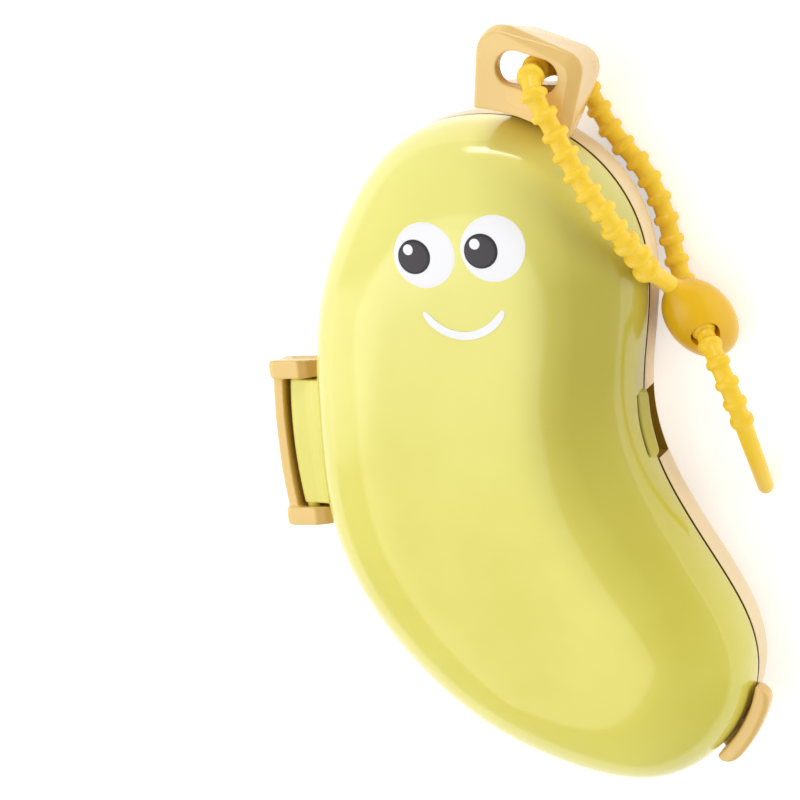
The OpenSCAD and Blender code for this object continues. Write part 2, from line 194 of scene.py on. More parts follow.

# Route of the strap from the bead's neck to its tip, given point by point; it passes back through
# the bead between points HOLE_IN and HOLE_OUT
HOLE_IN = 29
HOLE_OUT = 31
STRAP_ROUTE = np.array([
    [43.6, 28.2, 18.2], [42.9, 30.1, 19.8], [41.5, 33.6, 26.5], [40.4, 39.5, 31.5],
    [38.6, 43.7, 35], [36.7, 48.9, 37.2], [33.7, 53.8, 38], [31.2, 58.1, 37.9],
    [28.9, 62.8, 37.6], [26.8, 67.5, 37.5], [25.1, 71.6, 38], [23.7, 74.9, 38.4],
    [22.4, 78.1, 37.6], [21.4, 80.4, 35.2], [21, 81.3, 31.7], [20.8, 81.4, 26],
    [20.8, 80.9, 20], [21, 79.7, 14.5], [21.7, 77.2, 9.2], [22.9, 73.2, 5.2],
    [24.8, 68, 3.7], [27.2, 62.9, 3.6], [30.2, 58.3, 3.6], [33.6, 53.9, 3.6],
    [36.3, 49.1, 3.6], [38.3, 43.9, 3.6], [39.5, 38.9, 3.6], [40.2, 34, 3.6],
    [41.4, 29, 4.4], [43.2, 24.4, 5.9], [46.8, 19.8, 11], [51.1, 14.4, 17.1],
    [53.4, 11.6, 19.9], [55.1, 7.9, 20.9], [56.5, 3.9, 20.9], [57.4, -0.1, 20.1],
    [58, -4, 18.7], [58.3, -7.8, 16.8], [58.4, -11.3, 14.6], [58.3, -14.7, 12],
    [58.1, -17.9, 9.2], [57.7, -21, 6.2], [57.2, -24, 2.9], [56.9, -25.9, 0.8]])

# Directions that no strap point and no cylinder runs along, to turn their rings by
STRAP_SIDE = (0.92, 0.39, 0)
CYLINDER_SIDE = (0.3, 0.5, 0.81)

# Print on the lid: plain round eyes and a smile line, centres along X and Y
EYE_RADIUS = 7.65
PUPIL_RADIUS = 3.7
PUPIL_LINE_INSIDE = 0.1
PUPIL_LINE_OUTSIDE = 0.3
GLINT_RADIUS = 1.25
GLINT_OFFSET = (-1.3, 1.7)
PRINT_LIFT = 0.1
FILM_EDGE = 0.12
DISC_HOLE = 0.01
SMILE_CENTRE = (1.2, 33.5)
SMILE_RADIUS = 11.0
SMILE_STROKE = 0.95
SMILE_HALF_ANGLE = 62
SMILE_TAPER = 8

# Centre of each eye, and how far aside its pupil sits
EYES = {"left": ((-7.1, 41.4), (-2.4, -0.3)), "right": ((9.6, 42.5), (-2.7, -0.4))}

# Moulded material: scales of its noise, and where the painted shade on the flank that faces right
# starts and fades
CLOUD_SCALE = 38.0
MARKS_SCALE = 90.0
MARKS_SHARE = 0.08
FLANK_SHADE_FACING = (0.05, 0.45)
FLANK_SHADE_ENDS = 0.4
FLANK_SHADE_TAIL_FADE = (-60, 10)
FLANK_SHADE_STEM_FADE = (32, 60)

# Camera, worked out from the photograph's perspective
CAMERA_TARGET = (-28.0, 0.0, 15.0)
CAMERA_DISTANCE = 750.0
CAMERA_YAW = math.radians(24)
CAMERA_PITCH = math.radians(15)
CAMERA_ROLL = math.radians(6.6)
CAMERA_LENS = 140.7

# Studio: light from directions on the left and on the right, and the floor
WORLD_LEFT = 0.6
WORLD_RIGHT = 0.34
WORLD_SPAN = (-0.3, 0.6)
FLOOR_REACH = 3000
FLOOR_WHITE = 0.9
FLOOR_GLOW = 0.48
LAMP_AIM = (0, 0, 15)

# Lamps: name, place, size, power in watts, and whether they show in gloss
LAMPS = [("softbox", (-500, -250, 1040), (1100, 1700), 7.0, True),
         ("left", (-900, -100, 320), (300, 2400), 2.5, True),
         ("low_right", (700, 0, 110), (700, 240), 2.3, False),
         ("rear", (0, 750, 220), (420, 90), 1.4, True)]


# Camera

def make_camera():
    back = Vector((math.sin(CAMERA_YAW) * math.cos(CAMERA_PITCH), math.sin(CAMERA_PITCH),
                   math.cos(CAMERA_YAW) * math.cos(CAMERA_PITCH)))
    level = Vector((0, 1, 0)).cross(back).normalized()
    upright = back.cross(level)
    right = level * math.cos(CAMERA_ROLL) - upright * math.sin(CAMERA_ROLL)
    up = level * math.sin(CAMERA_ROLL) + upright * math.cos(CAMERA_ROLL)
    place = (Vector(CAMERA_TARGET) + back * CAMERA_DISTANCE) * MM
    data = bpy.data.cameras.new("camera")
    data.lens = CAMERA_LENS
    data.sensor_width = 36
    data.clip_start = 0.05
    data.clip_end = 20
    camera = bpy.data.objects.new("camera", data)
    bpy.context.scene.collection.objects.link(camera)
    turn = Matrix((right, up, back)).transposed()
    camera.matrix_world = Matrix.Translation(place) @ turn.to_4x4()
    bpy.context.scene.camera = camera


make_camera()


# Outline and dome formulas

def unit(vectors):
    return vectors / np.linalg.norm(vectors, axis=-1, keepdims=True)


def curve(u):
    """Points of the outline at positions u, counted in knots: a closed cubic spline."""
    u = np.asarray(u, float)
    knot = np.floor(u).astype(int)
    f = (u - knot)[:, None]
    g = 1 - f
    before, first, second, after = (OUTLINE[(knot + k) % KNOTS] for k in (-1, 0, 1, 2))
    return (before * g**3 + first * (3 * f**3 - 6 * f**2 + 4)
            + second * (3 * g**3 - 6 * g**2 + 4) + after * f**3) / 6


def outward(u, step=1e-4):
    """Directions square to the outline that point away from the case."""
    u = np.asarray(u, float)
    along = curve(u + step) - curve(u - step)
    return unit(np.stack([along[:, 1], -along[:, 0]], 1))


def shifted(u, out):
    return curve(u) + outward(u) * np.reshape(out, (-1, 1))


def stations(count):
    return (np.arange(count) + 0.5) * KNOTS / count


def ring(u, out, z):
    return np.column_stack([shifted(u, out), np.full(len(u), float(z))])


def foot(u):
    """Points of the ridge, half way between both sides, that the dome closes in on."""
    v = np.where(u > KNOTS / 2, KNOTS - u, u)
    w = np.clip(v, RIDGE_START, RIDGE_END)
    return (curve(w) + curve(KNOTS - w)) / 2


def dome_ring(u, out, z, height, angle):
    """One ring of a dome, from its rim at angle 0 to its ridge at a right angle."""
    share = math.cos(angle) ** (2 / DOME_POWER)
    lift = math.sin(angle) ** (2 / DOME_POWER)
    swell = CREST * math.exp(-((share - CREST_AT) / CREST_WIDTH) ** 2)
    ridge = foot(u)
    xy = ridge + (shifted(u, out) - ridge) * share
    return np.column_stack([xy, np.full(len(u), z + height * lift + swell)])


# Mesh helpers

def round_angles(count):
    return (np.arange(count) + 0.5) * 2 * math.pi / count


def add_object(name, mesh):
    piece = bpy.data.objects.new(name, mesh)
    bpy.context.scene.collection.objects.link(piece)
    return piece


def from_data(name, points, faces):
    mesh = bpy.data.meshes.new(name)
    mesh.from_pydata([tuple(p) for p in np.asarray(points) * MM], [], faces)
    mesh.validate()
    bm = bmesh.new()
    bm.from_mesh(mesh)
    bmesh.ops.recalc_face_normals(bm, faces=bm.faces)
    bm.to_mesh(mesh)
    bm.free()
    return add_object(name, mesh)


def side_faces(count, rows):
    """Four-sided faces between loops of count points that follow one another."""
    return [(start + k, start + (k + 1) % count, start + count + (k + 1) % count, start + count + k)
            for start in range(0, (rows - 1) * count, count) for k in range(count)]


def loft(name, loops):
    """A closed skin over loops of equally many points; each end is closed across its loop."""
    count = len(loops[0])
    faces = side_faces(count, len(loops))
    for start in (0, (len(loops) - 1) * count):
        for k in range(count // 2 - 1):
            faces.append((start + k, start + k + 1, start + count - 2 - k, start + count - 1 - k))
    return from_data(name, np.concatenate(loops), faces)


def plain_loft(name, loops):
    """A closed skin like loft, with one flat face across each end."""
    count = len(loops[0])
    last = (len(loops) - 1) * count
    faces = side_faces(count, len(loops))
    faces += [tuple(range(count)), tuple(range(last + count - 1, last - 1, -1))]
    return from_data(name, np.concatenate(loops), faces)


def apply_modifiers(piece):
    graph = bpy.context.evaluated_depsgraph_get()
    mesh = bpy.data.meshes.new_from_object(piece.evaluated_get(graph))
    piece.modifiers.clear()
    piece.data = mesh


def combine(piece, tool, operation):
    step = piece.modifiers.new("step", "BOOLEAN")
    step.operation = operation
    step.solver = "EXACT"
    step.material_mode = "TRANSFER"
    step.object = tool
    apply_modifiers(piece)
    bpy.data.objects.remove(tool)
    return piece


def soften(piece, voxel, rounds):
    """Rounds every edge of a moulded piece a little: an even remesh, then smoothing."""
    even = piece.modifiers.new("even", "REMESH")
    even.mode = "VOXEL"
    even.voxel_size = voxel * MM
    ease = piece.modifiers.new("ease", "SMOOTH")
    ease.factor = 0.5
    ease.iterations = rounds
    apply_modifiers(piece)
    piece.data.shade_smooth()


def shade(piece, sharp=35):
    piece.data.shade_smooth()
    piece.data.set_sharp_from_angle(angle=math.radians(sharp))
    return piece


def capsule(name, ends, low, high, radius, sides=96):
    """An upright prism with round ends, drawn from one end point to the other."""
    (x0, y0), (x1, y1) = ends
    heading = math.atan2(y1 - y0, x1 - x0)
    outline = []
    for a in round_angles(sides):
        x, y = (x1, y1) if math.cos(a) > 0 else (x0, y0)
        outline.append((x + radius * math.cos(a + heading), y + radius * math.sin(a + heading)))
    return loft(name, [np.column_stack([outline, np.full(sides, float(z))]) for z in (low, high)])


def unit_circle(way, beside, sides):
    """Points at a distance of 1 round a direction, turned by a second direction."""
    side = unit(np.cross(way, beside))
    up = np.cross(side, way)
    angles = round_angles(sides)
    return np.cos(angles)[:, None] * side + np.sin(angles)[:, None] * up


def cylinder(name, start, end, radius, sides=64):
    start, end = np.array(start, float), np.array(end, float)
    circle = radius * unit_circle(unit(end - start), CYLINDER_SIDE, sides)
    return loft(name, [start + circle, end + circle])


def case_prism(name, out, low, high, count=300):
    """An upright solid over the case's outline, moved outwards, to cut other pieces with."""
    u = stations(count)
    return loft(name, [ring(u, out, low), ring(u, out, high)])


# Materials

def new_material(name):
    material = bpy.data.materials.new(name)
    material.use_nodes = True
    nodes = material.node_tree.nodes
    nodes.clear()
    return material, nodes, material.node_tree.links


def linear(hex_colour):
    values = [int(hex_colour[i:i + 2], 16) / 255 for i in (1, 3, 5)]
    return [v / 12.92 if v <= 0.04045 else ((v + 0.055) / 1.055) ** 2.4 for v in values] + [1]


def noise(nodes, links, source, scale, detail=3.0):
    node = nodes.new("ShaderNodeTexNoise")
    node.inputs["Scale"].default_value = scale
    node.inputs["Detail"].default_value = detail
    links.new(source, node.inputs["Vector"])
    return node.outputs["Fac"]


def spread(nodes, links, value, low, high, from_low=0.3, from_high=0.7):
    """Maps a value to low..high, from the range where most noise lies if none is given."""
    node = nodes.new("ShaderNodeMapRange")
    node.inputs["From Min"].default_value = from_low
    node.inputs["From Max"].default_value = from_high
    node.inputs["To Min"].default_value = low
    node.inputs["To Max"].default_value = high
    links.new(value, node.inputs["Value"])
    return node.outputs["Result"]


def axis_of(nodes, links, vector, axis):
    split = nodes.new("ShaderNodeSeparateXYZ")
    links.new(vector, split.inputs[0])
    return split.outputs[axis]


def mix_colour(nodes, links, share, first, second):
    """A mix of two colours, of which the first may be the output of another node."""
    node = nodes.new("ShaderNodeMix")
    node.data_type = "RGBA"
    links.new(share, node.inputs[0])
    if isinstance(first, list):
        node.inputs[6].default_value = first
    else:
        links.new(first, node.inputs[6])
    node.inputs[7].default_value = second
    return node.outputs[2]


def product(nodes, links, values):
    """The product of two or more values."""
    node = nodes.new("ShaderNodeMath")
    node.operation = "MULTIPLY"
    links.new(values[0], node.inputs[0])
    links.new(values[1] if len(values) == 2 else product(nodes, links, values[1:]), node.inputs[1])
    return node.outputs[0]


def flank_shade_share(nodes, links, place, most):
    """How strongly the painted shade darkens a point: the more it faces right, and less towards
    both ends.
    """
    normal = nodes.new("ShaderNodeTexCoord").outputs["Normal"]
    facing = axis_of(nodes, links, normal, 0)
    along = axis_of(nodes, links, place, 1)
    tail_low, tail_high = FLANK_SHADE_TAIL_FADE
    stem_low, stem_high = FLANK_SHADE_STEM_FADE
    return product(nodes, links, [
        spread(nodes, links, facing, 0.0, most, *FLANK_SHADE_FACING),
        spread(nodes, links, along, FLANK_SHADE_ENDS, 1.0, tail_low * MM, tail_high * MM),
        spread(nodes, links, along, 1.0, FLANK_SHADE_ENDS, stem_low * MM, stem_high * MM)])


def moulded(name, light, deep, roughness, coat=0.0, painted_light=None, flank_shade=None):
    """Moulded plastic or rubber: cloudy pigment and fine handling marks.

    tint is (colour, from mm, to mm): a slow change of the pigment along the part.
    flank_shade is (colour, share): painted shade, a darker colour on the side that faces right.
    """
    material, nodes, links = new_material(name)
    place = nodes.new("ShaderNodeTexCoord").outputs["Object"]
    cloud = noise(nodes, links, place, CLOUD_SCALE)
    colour = mix_colour(nodes, links, spread(nodes, links, cloud, 0.0, 1.0),
                        linear(light), linear(deep))
    # Painted light: the colour grows paler along Y towards the stem end
    if painted_light:
        hue, start, end = painted_light
        along = axis_of(nodes, links, place, 1)
        share = spread(nodes, links, along, 0.0, 1.0, start * MM, end * MM)
        colour = mix_colour(nodes, links, share, colour, linear(hue))
    # Painted shade on the flank that faces right
    if flank_shade:
        hue, most = flank_shade
        colour = mix_colour(nodes, links, flank_shade_share(nodes, links, place, most), colour,
                            linear(hue))
    marks = noise(nodes, links, place, MARKS_SCALE, 1.0)
    rough = spread(nodes, links, marks, roughness * (1 - MARKS_SHARE),
                   roughness * (1 + MARKS_SHARE))
    shader = nodes.new("ShaderNodeBsdfPrincipled")
    shader.inputs["IOR"].default_value = 1.46
    shader.inputs["Coat Weight"].default_value = coat
    shader.inputs["Coat Roughness"].default_value = 0.12
    links.new(colour, shader.inputs["Base Color"])
    links.new(rough, shader.inputs["Roughness"])
    output = nodes.new("ShaderNodeOutputMaterial")
    links.new(shader.outputs[0], output.inputs["Surface"])
    return material


# Lid lime: painted light makes it paler towards the stem end, and painted shade darkens the flank
# that faces right
LIME = moulded("lid_lime", "#EBE36A", "#E4DB5A", 0.16, coat=0.45,
               painted_light=("#F5F08C", -20, 75), flank_shade=("#A99C30", 0.75))
TAB_LIME = moulded("tab_lime", "#EDE67C", "#E8E070", 0.24)
# The lid's lime drawn darker on the pull lip: painted shade
LIP_SHADED_LIME = moulded("lip_lime_painted_shade", "#CBC15E", "#C4B955", 0.24)
# Stem, hinge and nub peach, with painted shade on the flank that faces right
PEACH = moulded("base_peach", "#F4D186", "#F0C978", 0.26, coat=0.2, flank_shade=("#C0923C", 0.9))
# The base's peach drawn paler and creamier on the tray: painted light on its sides
TRAY_PAINTED_LIGHT = moulded("base_cream_painted_light", "#F3DDB4", "#EED5A8", 0.3)
# Painted shade inside the finger notch
NOTCH_SHADE_PAINT = moulded("notch_painted_shade", "#AD8C2E", "#A08026", 0.4)
# Painted shade in the parting line on the tray's edge
PARTING_SHADE_PAINT = moulded("parting_painted_shade", "#5E420F", "#54390B", 0.5)
SILICONE = moulded("strap_silicone", "#FCD53C", "#F8CC2E", 0.32)
BEAD_AMBER = moulded("bead_silicone", "#EDBD18", "#E6B210", 0.3)
EYE_WHITE = moulded("print_white", "#FAFAFC", "#F6F6F9", 0.3, coat=0.3)
PUPIL_GREY = moulded("print_dark", "#37323A", "#312C33", 0.4)
PUPIL_LINE = moulded("print_line", "#151317", "#0E0C10", 0.4)


def place_piece(piece, body, node=None):
    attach(piece, body)
    if node:
        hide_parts(node)
    return piece


def dress(piece, material, body, node=None):
    """Gives a piece its one material and its body, and hides the CAD node it stands for."""
    piece.data.materials.clear()
    piece.data.materials.append(material)
    place_piece(piece, body, node)


# Strap

def smooth_line(points, steps=16):
    """The same smooth curve through the route as in the part's source."""
    last = len(points) - 1
    line = []
    for i in range(last):
        a, b, c, d = (points[min(max(i + k, 0), last)] for k in (-1, 0, 1, 2))
        for k in range(steps):
            f = k / steps
            line.append((2 * b + (c - a) * f + (2 * a - 5 * b + 4 * c - d) * f**2
                         + (3 * b - a - 3 * c + d) * f**3) / 2)
    line.append(points[last])
    return np.array(line)


strap_line = smooth_line(STRAP_ROUTE)
strap_steps = np.linalg.norm(np.diff(strap_line, axis=0), axis=1)
strap_reach = np.concatenate([[0], np.cumsum(strap_steps)])
strap_length = strap_reach[-1]


def strap_place(s):
    return np.column_stack([np.interp(s, strap_reach, strap_line[:, k]) for k in range(3)])


def strap_profile():
    """Distances along the strap and the radius at each."""
    rings = [(0.05, CORE_RADIUS), (FIRST_RIB / 2, CORE_RADIUS)]
    for i in range(RIB_COUNT):
        s = FIRST_RIB + i * RIB_PITCH
        proud = RIB_RADIUS - RIB_TAPER * s / strap_length - CORE_RADIUS - RIB_STEP
        rings.append((s - RIB_THICK / 2 - RIB_FLARE, CORE_RADIUS))
        for t in np.linspace(-1, 1, 9):
            bulge = (1 - abs(t) ** RIB_POWER) ** RIB_ROUND
            rings.append((s + t * RIB_THICK / 2, CORE_RADIUS + RIB_STEP + proud * bulge))
        rings.append((s + RIB_THICK / 2 + RIB_FLARE, CORE_RADIUS))
        rings.append((s + RIB_PITCH / 2, CORE_RADIUS))
    tail = strap_length - rings[-1][0]
    for share in (0.3, 0.5, 0.7, 0.85):
        rings.append((strap_length - tail * (1 - share), CORE_RADIUS * (1 - TAIL_TAPER * share)))
    tip = CORE_RADIUS * (1 - TAIL_TAPER)
    for angle in np.radians([0, 25, 45, 62, 76, 86]):
        rings.append((strap_length - tip * TIP_LENGTH * (1 - math.sin(angle)),
                      tip * math.cos(angle)))
    return np.array(rings)


def make_strap(sides=28):
    profile = strap_profile()
    s = profile[:, 0]
    ahead = strap_place(np.minimum(s + SLOPE_STEP, strap_length))
    way = ahead - strap_place(np.maximum(s - SLOPE_STEP, 0))
    way[s < SLOPE_STEP] = STRAP_ROUTE[1] - STRAP_ROUTE[0]
    loops = [centre + radius * unit_circle(heading, STRAP_SIDE, sides)
             for centre, radius, heading in zip(strap_place(s), profile[:, 1], unit(way))]
    strap = shade(loft("strap_silicone", loops), sharp=60)
    dress(strap, SILICONE, "base", "strap")
    return strap


def make_bead(sides=96):
    """An egg with a hollow shoulder up to its neck, and a hole across for the strap's return."""
    way = unit(STRAP_ROUTE[1] - STRAP_ROUTE[0])
    middle = STRAP_ROUTE[0] - way * NECK
    egg = [(BEAD_RADIUS * math.cos(a), BEAD_HALF * math.sin(a))
           for a in np.radians(np.linspace(-88, SHOULDER_ANGLE - 2, 40))]
    wide = BEAD_RADIUS * math.cos(math.radians(SHOULDER_ANGLE)) - CORE_RADIUS
    low = BEAD_HALF * math.sin(math.radians(SHOULDER_ANGLE))
    shoulder = [(CORE_RADIUS + wide * (1 - t) ** SHOULDER_POWER, low + (NECK - low) * t)
                for t in np.linspace(0, 1, 20)]
    circle = unit_circle(way, STRAP_SIDE, sides)
    bead = loft("bead_silicone", [middle + way * h + circle * r for r, h in egg + shoulder])
    bead.data.materials.append(BEAD_AMBER)
    hole = unit(STRAP_ROUTE[HOLE_OUT] - STRAP_ROUTE[HOLE_IN])
    start = STRAP_ROUTE[HOLE_IN] - hole * BEAD_RADIUS
    tool = cylinder("bead_tool", start, start + hole * BEAD_HALF * 4, HOLE_RADIUS)
    tool.data.materials.append(BEAD_AMBER)
    combine(bead, tool, "DIFFERENCE")
    shade(bead, sharp=40)
    return place_piece(bead, "base", "strap_bead")


strap = make_strap()
bead = make_bead()


# Shells

def notch_ends(end, out):
    return shifted([NOTCH_FROM, end], [out, out])


def make_base_shell(count=480):
    """The tray: round back edge, rim with a line of painted shade, locating lip, inside and finger
    notch.
    """
    low = BASE_HEIGHT - RIM_DEPTH
    lip_top = BASE_HEIGHT + LIP_HEIGHT
    lip_out = -WALL - LIP_GAP
    lip_in = lip_out - LIP_WALL
    outside = [(-BACK_INSET * (1 - math.cos(a)), low * (1 - math.sin(a)))
               for a in np.radians(np.linspace(90, 4, 20))]
    outside += [(0, low), (0, RIM_EDGE - EDGE_ROUND)]
    outside += [(-EDGE_ROUND * (1 - math.cos(a)), RIM_EDGE - EDGE_ROUND * (1 - math.sin(a)))
                for a in np.radians([20, 45, 70, 90])]
    lip = [(-PAINTED_SHADE_REACH, RIM_EDGE), (lip_out, RIM_EDGE), (lip_out, lip_top - LIP_BEVEL),
           (lip_out - LIP_BEVEL, lip_top), (lip_in, lip_top), (lip_in, BASE_HEIGHT - LIP_ROOT)]
    inside = [(-WALL - INSIDE_STEP - (BACK_INSET - INSIDE_EASE) * (1 - math.cos(a)),
               low - (low - WALL) * math.sin(a)) for a in np.radians(np.linspace(0, 90, 16))]
    u = stations(count)
    shell = loft("base_tray", [ring(u, out, z) for out, z in outside + lip + inside])
    shell.data.materials.append(TRAY_PAINTED_LIGHT)
    # Painted shade: the last rows of the rim's rounding and its ledge are drawn dark brown
    shell.data.materials.append(PARTING_SHADE_PAINT)
    painted_shade_end = len(outside) * count
    for face in shell.data.polygons[painted_shade_end - PAINTED_SHADE_ROWS * count:painted_shade_end]:
        face.material_index = 1
    ends = notch_ends(NOTCH_TO, NOTCH_RADIUS - NOTCH_SINK)
    wall = capsule("notch_wall", ends, NOTCH_FLOOR - NOTCH_WALL, BASE_HEIGHT - 0.3,
                   NOTCH_RADIUS + NOTCH_WALL)
    combine(wall, case_prism("notch_limit", -1, 3, BASE_HEIGHT + 1, count=200), "INTERSECT")
    wall.data.materials.append(TRAY_PAINTED_LIGHT)
    combine(shell, wall, "UNION")
    tool = capsule("notch_tool", ends, NOTCH_FLOOR, BASE_HEIGHT + 0.2, NOTCH_RADIUS)
    # The cut faces take this dark brown: painted shade inside the notch
    tool.data.materials.append(NOTCH_SHADE_PAINT)
    combine(shell, tool, "DIFFERENCE")
    place_piece(shade(shell), "base", "base_shell")


def make_lid_shell(count=480):
    """The lid, from the top of its inside down to the rounded edge and over the dome.

    A round cut in its edge continues the tray's finger notch under the pull lip.
    """
    u = stations(count)
    loops = [dome_ring(u, -WALL, LID_START, LID_RISE - WALL, a)
             for a in np.radians(np.linspace(86, 0, 24))]
    loops.append(ring(u, -WALL, LID_EDGE))
    loops += [ring(u, -EDGE_ROUND * (1 - math.cos(a)), LID_EDGE + EDGE_ROUND * (1 - math.sin(a)))
              for a in np.radians([90, 65, 42, 20, 0])]
    loops += [dome_ring(u, 0, LID_START, LID_RISE, a)
              for a in np.radians(np.concatenate([np.linspace(0, 80, 60), [82, 84, 86, 88]]))]
    shell = loft("lid_dome", loops)
    shell.data.materials.append(LIME)
    tool = capsule("lid_notch_tool", notch_ends(ROOT_TO, NOTCH_RADIUS - ROOT_SINK), BASE_HEIGHT,
                   BASE_HEIGHT + ROOT_HEIGHT, NOTCH_RADIUS)
    tool.data.materials.append(LIME)
    combine(shell, tool, "DIFFERENCE")
    return place_piece(shade(shell), "lid", "lid_shell")


make_base_shell()
lid_shell = make_lid_shell()


# Stem

def slice_ring(circles, inset, z, count=256):
    """Outline of the hull of circles [x, y, radius], sampled by the direction of its normal."""
    a = round_angles(count)
    normal = np.column_stack([np.cos(a), np.sin(a)])
    c = np.array(circles, float)
    radius = np.maximum(c[:, 2] - inset, LEAST_RADIUS)
    best = np.argmax(normal @ c[:, :2].T + radius, axis=1)
    xy = c[best, :2] + normal * radius[best][:, None]
    return np.column_stack([xy, np.full(count, float(z))])


def make_stem():
    """A block with a hollow behind its front plate and a slot for the strap through it."""
    stem = loft("stem_block", [slice_ring(STEM_FACE, STEM_EDGE, STEM_TOP),
                               slice_ring(STEM_FACE, 0, STEM_TOP - STEM_EDGE),
                               slice_ring(STEM_FULL, 0, STEM_TOP - STEM_ROUND),
                               slice_ring(STEM_REAR, 0, STEM_BACK + STEM_BACK_EDGE),
                               slice_ring(STEM_REAR, STEM_BACK_EDGE, STEM_BACK)])
    plate_back = STEM_TOP - STEM_PLATE
    combine(stem, loft("stem_pocket", [slice_ring(POCKET_FRONT, 0, plate_back),
                                       slice_ring(POCKET_REAR, 0, STEM_BACK - 1)]), "DIFFERENCE")
    combine(stem, capsule("slot_tool", SLOT_ENDS, plate_back - 3, STEM_TOP + 1, SLOT_RADIUS),
            "DIFFERENCE")
    u = stations(300)
    combine(stem, loft("stem_clear", [ring(u, STEM_CLEAR, BASE_HEIGHT - PARTING_GAP),
                                      ring(u, STEM_CLEAR_TOP, STEM_TOP + 2)]), "DIFFERENCE")
    combine(stem, case_prism("stem_seat", SEAT, STEM_BACK - 2, BASE_HEIGHT), "DIFFERENCE")
    soften(stem, voxel=0.25, rounds=16)
    dress(stem, PEACH, "base", "stem")


make_stem()


# Hinge

def bow(y):
    return HINGE_BOW * (1 - (2 * (y - HINGE_Y) / BARREL_LENGTH) ** 2)


def prism_along_y(name, outline, y0, y1):
    return plain_loft(name, [np.array([(x, y, z) for x, z in outline]) for y in (y0, y1)])


def cut_to_case(piece):
    tool = case_prism("case_side", SEAT, BRACKET_LOW - 1, BASE_HEIGHT + 1)
    return combine(piece, tool, "DIFFERENCE")


def bracket_arm(y0):
    """One arm: an outline along X and Z, cut to a block with round corners whose side leans."""
    x0 = BAR_INNER - BAR_WIDTH - ARM_PROUD
    x1 = PIN_X + CASE_REACH
    outline = [(x0 + 1.2, BRACKET_LOW), (x0, BRACKET_LOW + 1.2), (x0, BRACKET_TOP - 1.4),
               (x0 + 0.5, BRACKET_TOP - 0.4), (x0 + 1.6, BRACKET_TOP),
               (PIN_X + 1.6, BRACKET_TOP), (PIN_X + 4, BRACKET_TOP - 0.9),
               (PIN_X + 6.4, BASE_HEIGHT + 1.2), (PIN_X + 7.1, BASE_HEIGHT - 0.1),
               (x1, BASE_HEIGHT - 0.4), (x1, BRACKET_LOW)]
    arm = prism_along_y("arm", outline, y0, y0 + ARM_WIDTH)
    limit = []
    for rake, z in ((ARM_RAKE, BRACKET_LOW - 0.1), (0, BRACKET_TOP + 0.1)):
        far = y0 + ARM_WIDTH - ARM_CORNER - rake
        limit.append(slice_ring([[x, y, ARM_CORNER] for x in (x0 + ARM_CORNER, PIN_X + 20)
                                 for y in (y0 + ARM_CORNER, far)], 0, z))
    combine(arm, loft("arm_limit", limit), "INTERSECT")
    return cut_to_case(arm)


def bar_loop(y):
    x1 = BAR_INNER - bow(y)
    x0 = x1 - BAR_WIDTH + BAR_SET
    top = BRACKET_TOP - BAR_DROP
    return np.array([(x0, y, BRACKET_LOW), (x0, y, top), (x1, y, top), (x1, y, BRACKET_LOW)])


def make_bracket():
    """The bowed bar between two arms, a web below the leaf, and a bore for the pins."""
    low_arm = HINGE_LOW - ARM_GAP - ARM_WIDTH
    high_arm = HINGE_HIGH + ARM_GAP
    y0, y1 = low_arm + 1, high_arm + ARM_WIDTH - 1
    bar = loft("hinge_bracket_u", [bar_loop(y) for y in np.linspace(y0, y1, 25)])
    web_front, web_back = BAR_INNER - BAR_WIDTH / 2, PIN_X + CASE_REACH
    web = prism_along_y("web", [(web_front, BRACKET_LOW), (web_front, WEB_TOP),
                                (web_back, WEB_TOP), (web_back, BRACKET_LOW)], y0, y1)
    combine(bar, cut_to_case(web), "UNION")
    combine(bar, bracket_arm(low_arm), "UNION")
    combine(bar, bracket_arm(high_arm), "UNION")
    reach = ARM_GAP + PIN_ENGAGEMENT + BORE_SPARE
    bore = cylinder("bore", (PIN_X, HINGE_LOW - reach, BASE_HEIGHT),
                    (PIN_X, HINGE_HIGH + reach, BASE_HEIGHT), PIN_RADIUS + PIN_CLEARANCE)
    combine(bar, bore, "DIFFERENCE")
    soften(bar, voxel=0.2, rounds=40)
    dress(bar, PEACH, "base", "hinge_bracket")


def fuller(share):
    return math.copysign(abs(share) ** TAB_FULLNESS, share)


def tab_loop(y):
    """Section of the tab: round at the pin, then a leaf that sweeps into the lid's side."""
    r = BARREL_RADIUS - HINGE_BOW + bow(y)
    section = [(r * fuller(math.cos(a)), r * fuller(math.sin(a)))
               for a in np.radians(np.linspace(300, 95, 30))]
    section += [(x, r + rise) for x, rise in TAB_SWEEP] + TAB_UNDER
    return np.array([(PIN_X + x, y, BASE_HEIGHT + z) for x, z in section])


def make_tab():
    """The leaf on the lid with its barrel and two pin stubs, cut back to the lid's side."""
    tab = plain_loft("hinge_leaf", [tab_loop(y) for y in np.linspace(HINGE_LOW, HINGE_HIGH, 40)])
    u = stations(300)
    side = [ring(u, -TAB_SINK, z) for z in (BASE_HEIGHT - 4, LID_START)]
    side += [dome_ring(u, -TAB_SINK, LID_START, LID_RISE, a)
             for a in np.radians(np.linspace(4, 60, 20))]
    combine(tab, loft("lid_side", side), "DIFFERENCE")
    reach = ARM_GAP + PIN_ENGAGEMENT
    for y0, y1 in ((HINGE_LOW - reach, HINGE_LOW + 1), (HINGE_HIGH - 1, HINGE_HIGH + reach)):
        combine(tab, cylinder("stub", (PIN_X, y0, BASE_HEIGHT), (PIN_X, y1, BASE_HEIGHT),
                              PIN_RADIUS), "UNION")
    soften(tab, voxel=0.2, rounds=6)
    dress(tab, TAB_LIME, "lid", "hinge_tab")


make_bracket()
make_tab()


# Pull lip and tail nub

